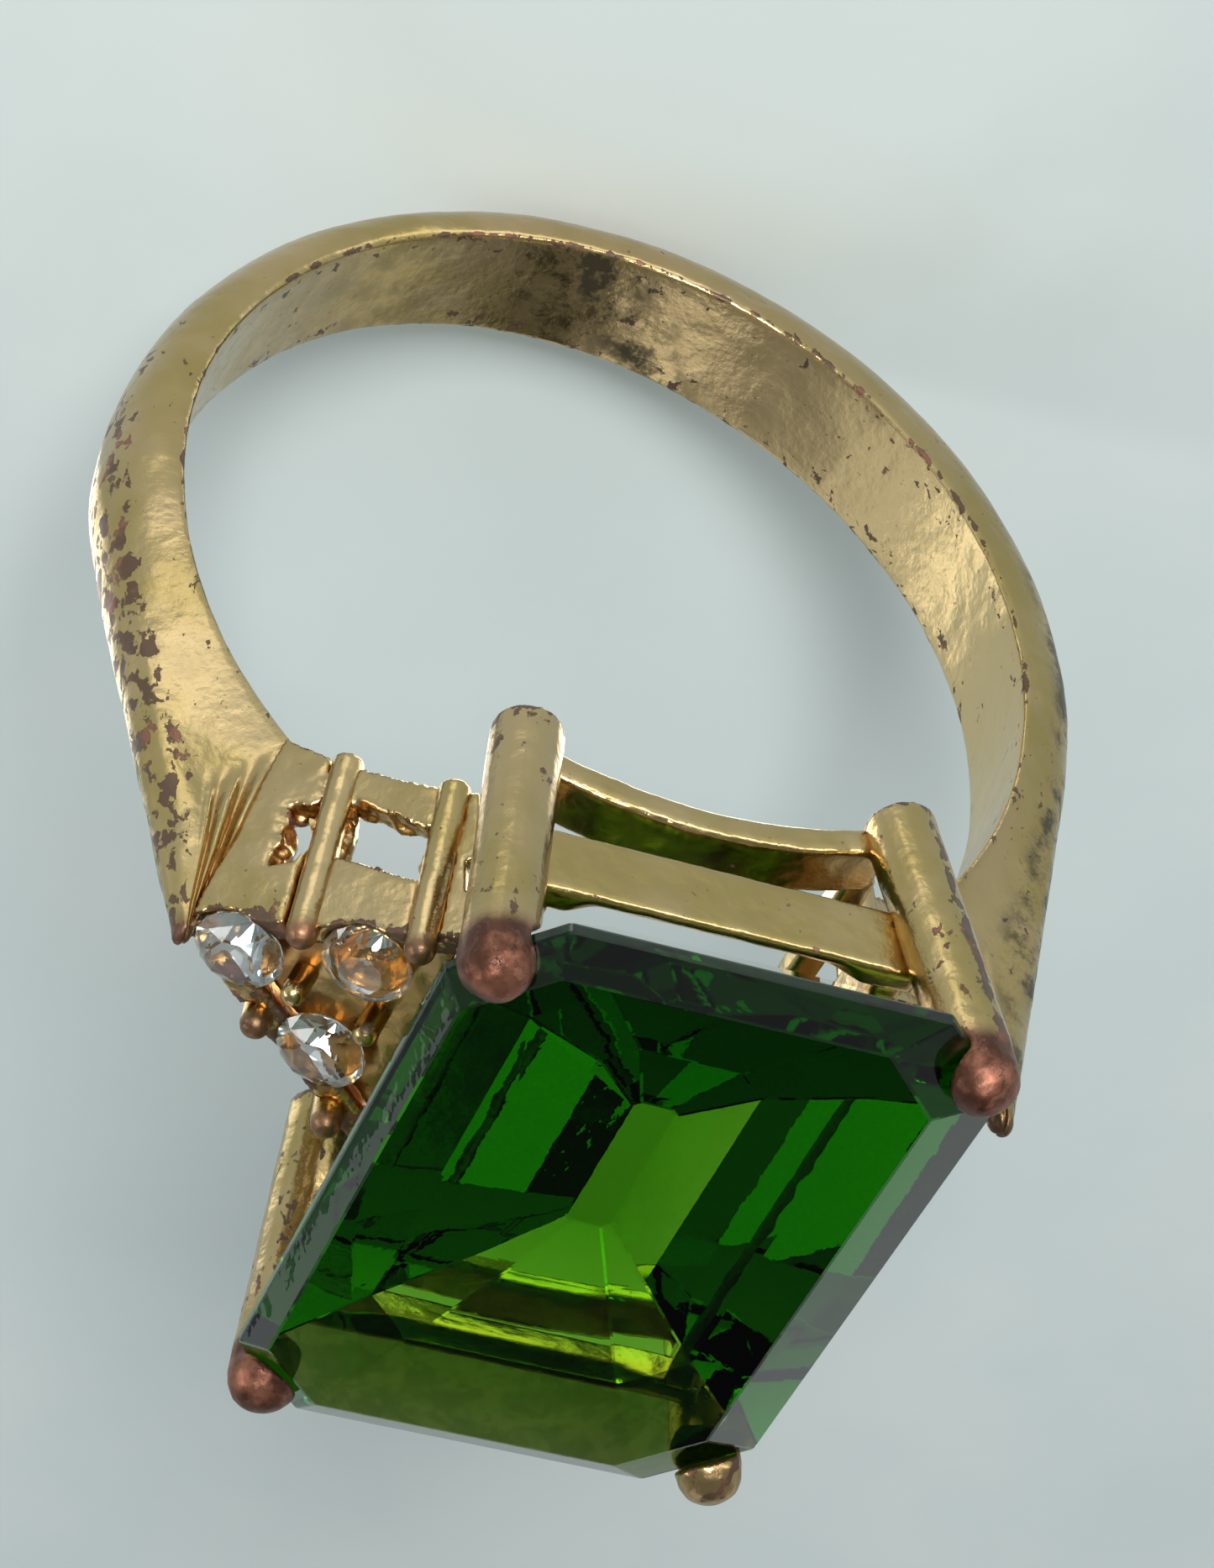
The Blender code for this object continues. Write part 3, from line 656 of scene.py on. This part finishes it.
def build_shank(material):
    rings, shares, heights = [], [], []
    for side, (inner, outer, half_width, horn, fluted, height) in shank_stations():
        half = section(inner, outer, half_width, horn, fluted)
        whole = half + [(1.0, 0.0)] + [(along, -y) for along, y in reversed(half[1:])]
        spots = [(between(inner, outer, along), y) for along, y in whole]
        rings.append([(side * spot.x, y, spot.y) for spot, y in spots])
        shares += [along for along, _ in whole]
        heights += [side * height] * len(whole)
    obj = skin_over(rings, "cast_shank")

    points = np.array(rings).reshape(-1, 3)
    along = np.array(shares)
    rim = np.exp(-(((along - 0.18) / 0.16) ** 2)) * (along > 0.01)
    hammered = smooth_step(0.0, 4 * MM, points[:, 0]) * smooth_step(4 * MM, 0.0, points[:, 2])
    dents = lumps(points, 0.30 * MM, 3) * (0.008 + 0.030 * hammered * rim) * MM
    push_out(obj, dents + lumps(points, 1.6 * MM, 5) * 0.02 * MM)
    paint_shank(obj, points, along, np.array(heights))
    shade_smooth(obj)
    finish_piece(obj, material, "shank")


# Shoulders


def ragged_windows(wall, side, row, seed):
    """Lets torn casting flash grow into a wall's windows. Gives each vertex's height share in the wall."""
    points, normals = points_of(wall.data), normals_of(wall.data)
    x_sign, y_sign = signs(side, row)
    outward = np.array((math.sin(WALL_ANGLE) * x_sign, math.cos(WALL_ANGLE) * y_sign, 0.0))
    rim = np.abs(normals @ outward) < 0.6
    x, z = np.abs(points[:, 0]), points[:, 2]
    bottom = HOLE_HALF_HEIGHT * np.sqrt(1 - np.clip(x / HOLE_HALF_WIDTH, 0, 0.99) ** 2)
    top = SEAM_TOP.y + (SEAM_TOP.x - x) * math.tan(ACCENT_SLOPE)
    share = (z - bottom) / (top - bottom)
    seam_foot_z = hole_height(SEAM_FOOT_X)
    seam = SEAM_FOOT_X + (z - seam_foot_z) / (SEAM_TOP.y - seam_foot_z) * (SEAM_TOP.x - SEAM_FOOT_X)
    inside = rim * (share > 0.10) * (share < 0.66) * (x < seam - 0.35 * MM) * (x > x.min() + 0.30 * MM)
    outer_one = smooth_step(5.6 * MM, 6.3 * MM, x)
    torn = np.clip(lumps(points, 0.42 * MM, seed) + 0.30, 0, 1) + 0.25 * lumps(points, 0.20 * MM, seed + 1)
    push_out(wall, inside * np.clip(torn, 0, 1) * between(0.24, 0.40, outer_one) * MM)
    soften(wall, 3)
    apply_modifiers(wall)
    shade_smooth(wall)
    return share


def build_wall(material, side, row):
    node = f"wall_{side}_{row}"
    wall = recast(node)
    reach_out(wall, WALL_OVERLAP)
    share = ragged_windows(wall, side, row, 4 + len(side) + len(row))
    top_edge = smooth_step(0.84, 0.97, share)
    paint_wear(wall, 0.7 * top_edge)
    finish_piece(wall, material, node)


def build_bar(material, node):
    bar = recast(node, voxel=0.035 * MM, softness=3)
    height = points_of(bar.data)[:, 2]
    top = height.max()
    paint_wear(bar)
    paint(bar, "copper", smooth_step(top - 0.5 * MM, top - 0.2 * MM, height) * 0.8)
    finish_piece(bar, material, node)


def build_plate(material, node):
    plate = recast(node, softness=3, grow=0.05 * MM, lump=0.05 * MM)
    paint_wear(plate)
    finish_piece(plate, material, node)


def build_bead(material, node):
    bead = recast(node, voxel=0.03 * MM, softness=2, grow=0.04 * MM)
    paint_wear(bead)
    finish_piece(bead, material, node)


def build_shoulders(material, plate_material):
    for side in ("left", "right"):
        for row in ("near", "far"):
            build_wall(material, side, row)
            for number in (1, 2):
                build_bar(material, f"bar_{number}_{side}_{row}")
        build_plate(plate_material, f"plate_{side}")
        for number in (1, 2):
            build_bead(material, f"bead_{number}_{side}")


# Basket


def shape_claw(post, side, row):
    """Wears the ball of a post down to a lopsided egg, flat where it was pressed over the stone."""
    points = points_of(post.data)
    top = points[:, 2].max()
    head = smooth_step(top - CLAW_LENGTH, top - 0.7 * MM, points[:, 2])
    ball = points[points[:, 2] > top - MM]
    away = points - (ball.min(0) + ball.max(0)) / 2
    outward = np.array((*signs(side, row), 1.2))
    outward = outward / np.linalg.norm(outward)
    flat = np.maximum(0, away @ outward - CLAW_FLAT_AT) * CLAW_FLATNESS
    points -= (flat * head)[:, None] * outward
    seed = 3 if side == "left" else 8
    dents = head * lumps(points, 0.60 * MM, seed) * 0.06 * MM
    points += dents[:, None] * away / (0.7 * MM)
    set_points(post.data, points)
    soften(post, 3)
    apply_modifiers(post)
    shade_smooth(post)


def build_post(material, side, row):
    node = f"post_{side}_{row}"
    post = recast(node, voxel=0.04 * MM, softness=3, grow=0.02 * MM)
    shape_claw(post, side, row)
    height = points_of(post.data)[:, 2]
    top, foot = height.max(), height.min()
    normals = normals_of(post.data)
    turn = np.arctan2(normals[:, 1], normals[:, 0])
    streak = np.exp(-(((turn - STREAK_TURN) / STREAK_WIDTH) ** 2)) * (side == "right")
    worn_foot = smooth_step(foot + 0.5 * MM, foot, height)
    paint_wear(post, 0.45 * worn_foot + 0.9 * streak)
    bared = 0.35 if (side, row) == ("right", "far") else 1.0
    paint(post, "copper", bared * smooth_step(top - CLAW_LENGTH, top - 1.0 * MM, height))
    finish_piece(post, material, node)


def build_rail(material, course, place):
    node = f"{course}_rail_{place}"
    rail = recast(node, voxel=0.04 * MM, softness=44)
    reach_out(rail, RAIL_OVERLAP, axis=0 if place in ("near", "far") else 1)
    lean = np.clip(edge_convexity(rail.data, 6) * 3, 0, 1)
    push_out(rail, lean * lumps(points_of(rail.data), 0.32 * MM, 6) * 0.05 * MM)
    # Faces turned up towards the stone get amber: grime and painted shade under the stone.
    stone_side = smooth_step(0.80, 0.97, normals_of(rail.data)[:, 2])
    paint_wear(rail, darkening=stone_side)
    finish_piece(rail, material, node)


def build_basket(post_material, rail_material):
    for side in ("left", "right"):
        for row in ("near", "far"):
            build_post(post_material, side, row)
    for course in ("lower", "upper"):
        for place in ("near", "far", "left", "right"):
            build_rail(rail_material, course, place)


# Stones


def hull(name, points):
    """Stone with flat facets between these corners."""
    shape = bmesh.new()
    for point in points:
        shape.verts.new(point)
    found = bmesh.ops.convex_hull(shape, input=shape.verts)
    inside = {item for item in found["geom_interior"] if isinstance(item, bmesh.types.BMVert)}
    bmesh.ops.delete(shape, geom=list(inside), context="VERTS")
    bmesh.ops.dissolve_limit(shape, angle_limit=math.radians(1.0), verts=shape.verts, edges=shape.edges)
    bmesh.ops.recalc_face_normals(shape, faces=shape.faces)
    mesh = bpy.data.meshes.new(name)
    shape.to_mesh(mesh)
    shape.free()
    return new_object(name, mesh)


def ring_of(radius, height, count, turn):
    """Corners of a level regular polygon."""
    points = []
    for i in range(count):
        angle = 2 * math.pi * i / count + turn
        points.append(Vector((radius * math.cos(angle), radius * math.sin(angle), height)))
    return points


def build_accent_stones(material, foil):
    """Round cut: a table, a faceted crown, a girdle and an eight-sided pavilion with a mirror back."""
    cut = []
    for share, height, count, turn in ACCENT_CUT:
        cut += ring_of(share * ACCENT_RADIUS, height, count, turn)
    cut.append(Vector((0, 0, -ACCENT_POINT)))
    for side, sign in (("left", -1), ("right", 1)):
        tilt = Matrix.Rotation(sign * ACCENT_SLOPE, 4, "Y")
        tilted = [tilt @ point for point in cut]
        own_middle = (Vector(np.min(tilted, axis=0)) + Vector(np.max(tilted, axis=0))) / 2
        for spot in ("tip", "near", "far"):
            node = f"accent_{side}_{spot}"
            low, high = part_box(node)
            shift = (low + high) / 2 - own_middle
            stone = hull("cut_" + node, [shift + point for point in tilted])
            finish_piece(stone, material, node)
            stone.data.materials.append(foil)
            for face in stone.data.polygons:
                face.material_index = int((tilt.inverted() @ face.normal).z < -0.1)


def octagon(low_x, high_x, low_y, high_y, corner, height):
    """Corners of a level rectangle whose own corners are cut off."""
    points = []
    for x, sign_x in ((low_x, 1), (high_x, -1)):
        for y, sign_y in ((low_y, 1), (high_y, -1)):
            points.append(Vector((x + sign_x * corner, y, height)))
            points.append(Vector((x, y + sign_y * corner, height)))
    return points


def build_centre_stone(material):
    """Step cut with its table off centre and its keel to the right of the middle."""
    low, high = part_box("centre_stone")
    crown_foot = GIRDLE_HEIGHT + GIRDLE_HALF_THICKNESS
    pavilion_top = GIRDLE_HEIGHT - GIRDLE_HALF_THICKNESS
    points = octagon(low.x, high.x, low.y, high.y, STONE_CORNER, crown_foot)
    points += octagon(low.x, high.x, low.y, high.y, STONE_CORNER, pavilion_top)
    left, right, far, near = TABLE_INSETS.values()
    points += octagon(low.x + left, high.x - right, low.y + far, high.y - near, TABLE_CORNER, high.z)
    for depth, left, right, far, near in zip(PAVILION_DEPTHS, *PAVILION_INSETS.values()):
        corner = STONE_CORNER * (1 - far / high.x)
        height = pavilion_top - depth
        points += octagon(low.x + left, high.x - right, low.y + far, high.y - near, corner, height)
    stone = hull("cut_centre_stone", points)
    bevel = stone.modifiers.new("worn edges", "BEVEL")
    bevel.width = WORN_EDGE
    bevel.segments = 1
    bevel.limit_method = "ANGLE"
    bevel.angle_limit = math.radians(8)
    apply_modifiers(stone)
    finish_piece(stone, material, "centre_stone")
    # Painted shade: the far, low facets of the first pavilion step get dark patches.
    layer = stone.data.attributes.new("back_shade", "FLOAT", "FACE")
    step_foot = pavilion_top - PAVILION_DEPTHS[0]
    for face, value in zip(stone.data.polygons, layer.data):
        far_and_low = face.normal.y < -0.4 and face.normal.z < -0.3
        value.value = float(far_and_low and face.center.z > step_foot)


# Setting


def build_floor():
    size = FLOOR_HALF_SIZE
    mesh = bpy.data.meshes.new("floor")
    height = CAD_LOW.z - FLOOR_GAP
    corners = [(-size, -size, height), (size, -size, height), (size, size, height), (-size, size, height)]
    mesh.from_pydata(corners, [], [(0, 1, 2, 3)])
    floor = new_object("floor", mesh)
    look = Shading("pale_floor")
    cloud = look.ramp(look.noise(0.06, 5, 0.55), 0.35, 0.65)
    look.link(look.mix(cloud, *FLOOR_COLOURS), look.shader.inputs["Base Color"])
    look.shader.inputs["Roughness"].default_value = 0.6
    mesh.materials.append(look.material)


def add_light(name, direction, distance, size, power, colour):
    light = bpy.data.lights.new(name, "AREA")
    light.shape = "RECTANGLE"
    light.size, light.size_y = size
    light.energy = power
    light.color = colour
    obj = new_object(name, light)
    obj.visible_camera = False
    direction = Vector(direction).normalized()
    obj.location = CAMERA_AIM + direction * distance
    obj.rotation_euler = direction.to_track_quat("Z", "Y").to_euler()
    return obj


def build_world():
    """A grey room: bright round the horizon, dim overhead and dark where the stone's table looks."""
    world = bpy.data.worlds.new("studio")
    bpy.context.scene.world = world
    world.use_nodes = True
    tree = world.node_tree

    def fade(source, low, high, start, end):
        node = add_node(tree, "ShaderNodeMapRange", interpolation_type="SMOOTHSTEP")
        for name, number in (("From Min", low), ("From Max", high), ("To Min", start), ("To Max", end)):
            node.inputs[name].default_value = number
        tree.links.new(source, node.inputs["Value"])
        return node.outputs[0]

    direction = add_node(tree, "ShaderNodeTexCoord").outputs["Generated"]
    height = add_node(tree, "ShaderNodeSeparateXYZ")
    tree.links.new(direction, height.inputs[0])
    facing = add_node(tree, "ShaderNodeVectorMath", operation="DOT_PRODUCT")
    facing.inputs[1].default_value = Vector(DARK_CORNER).normalized()
    tree.links.new(direction, facing.inputs[0])
    strength = add_node(tree, "ShaderNodeMath", operation="MULTIPLY")
    tree.links.new(fade(height.outputs["Z"], 0.05, 0.60, HORIZON, OVERHEAD), strength.inputs[0])
    dark = fade(facing.outputs["Value"], *DARK_CORNER_EDGE, 1.0, DARK_CORNER_LIGHT)
    tree.links.new(dark, strength.inputs[1])
    background = tree.nodes["Background"]
    background.inputs["Color"].default_value = (*ROOM_COLOUR, 1.0)
    tree.links.new(strength.outputs[0], background.inputs["Strength"])


WARM_WHITE = (1.0, 0.98, 0.94)
FACE_UP = (math.pi, 0, 0)

# Each light: name, direction from the ring, distance, width and height, watts, colour
LIGHTS = (
    ("window", (-0.20, 0.79, 0.58), 0.25, (0.07, 0.08), 0.57, (1.0, 0.99, 0.97)),
    ("low_window", (0.28, 0.94, 0.18), 0.20, (0.12, 0.035), 0.085, (1.0, 0.98, 0.95)),
    ("skylight", (-0.10, -0.72, 0.66), 0.25, (0.12, 0.09), 0.031, (1.0, 1.0, 1.0)),
    ("side", (-0.9, -0.1, 0.30), 0.22, (0.03, 0.16), 0.12, (1.0, 0.99, 0.97)),
)

# White cards lying just above the floor and facing up, which the lower edges of the metal mirror
CARDS = (
    ("near_card", (-0.49, 0.78, -0.39), 0.041, (0.022, 0.016), 0.0018, WARM_WHITE),
    ("left_card", (-0.575, -0.585, -0.571), 0.028, (0.014, 0.014), 0.0012, WARM_WHITE),
    ("back_card", (-0.026, 0.230, -0.973), 0.0165, (0.007, 0.003), 0.00010, WARM_WHITE),
)

# A faint light in the finger hole, facing up, for the underside of the basket
GLOW = ("glow", (0.0, 0.0, -1.0), 0.001, (0.008, 0.006), 0.0006, (1.0, 0.97, 0.88))


def build_lights():
    build_world()
    for light in LIGHTS:
        add_light(*light)
    for card in CARDS:
        add_light(*card).rotation_euler = FACE_UP
    glow = add_light(*GLOW)
    glow.rotation_euler = FACE_UP
    glow.visible_transmission = False


def build_camera():
    camera = bpy.data.cameras.new("camera")
    camera.lens = CAMERA_LENS
    camera.sensor_width = 36
    camera.clip_start = 0.005
    camera.clip_end = 5
    obj = new_object("camera", camera)
    level = math.cos(CAMERA_ELEVATION)
    back = Vector(
        (math.cos(CAMERA_AZIMUTH) * level, math.sin(CAMERA_AZIMUTH) * level, math.sin(CAMERA_ELEVATION))
    )
    turn = (-back).to_track_quat("-Z", "Y").to_matrix() @ Matrix.Rotation(-CAMERA_ROLL, 3, "Z")
    obj.matrix_world = Matrix.Translation(CAMERA_AIM + back * CAMERA_DISTANCE) @ turn.to_4x4()
    bpy.context.scene.camera = obj
    bpy.context.scene.view_settings.view_transform = "Standard"


SHANK_PLATING = plating("worn_shank_plating", 0.20, chips=0.545, flake=3.6)
SHOULDER_PLATING = plating("cast_shoulder_plating", 0.22, chips=0.57, amber=1.0)
PLATE_PLATING = plating("tarnished_plating", 0.28, chips=0.56, amber=1.0)
POST_PLATING = plating("post_plating", 0.21, chips=0.50, flake=3.2)
RAIL_PLATING = plating("bright_plating", 0.17, chips=0.62)
GREEN_GLASS = glass("green_glass", 1.52, GREEN_TINT, 900)
CLEAR_GLASS = glass("clear_glass", 1.60)
FOIL = mirror_foil("mirror_foil")

build_camera()
build_shank(SHANK_PLATING)
build_shoulders(SHOULDER_PLATING, PLATE_PLATING)
build_basket(POST_PLATING, RAIL_PLATING)
build_accent_stones(CLEAR_GLASS, FOIL)
build_centre_stone(GREEN_GLASS)
build_floor()
build_lights()
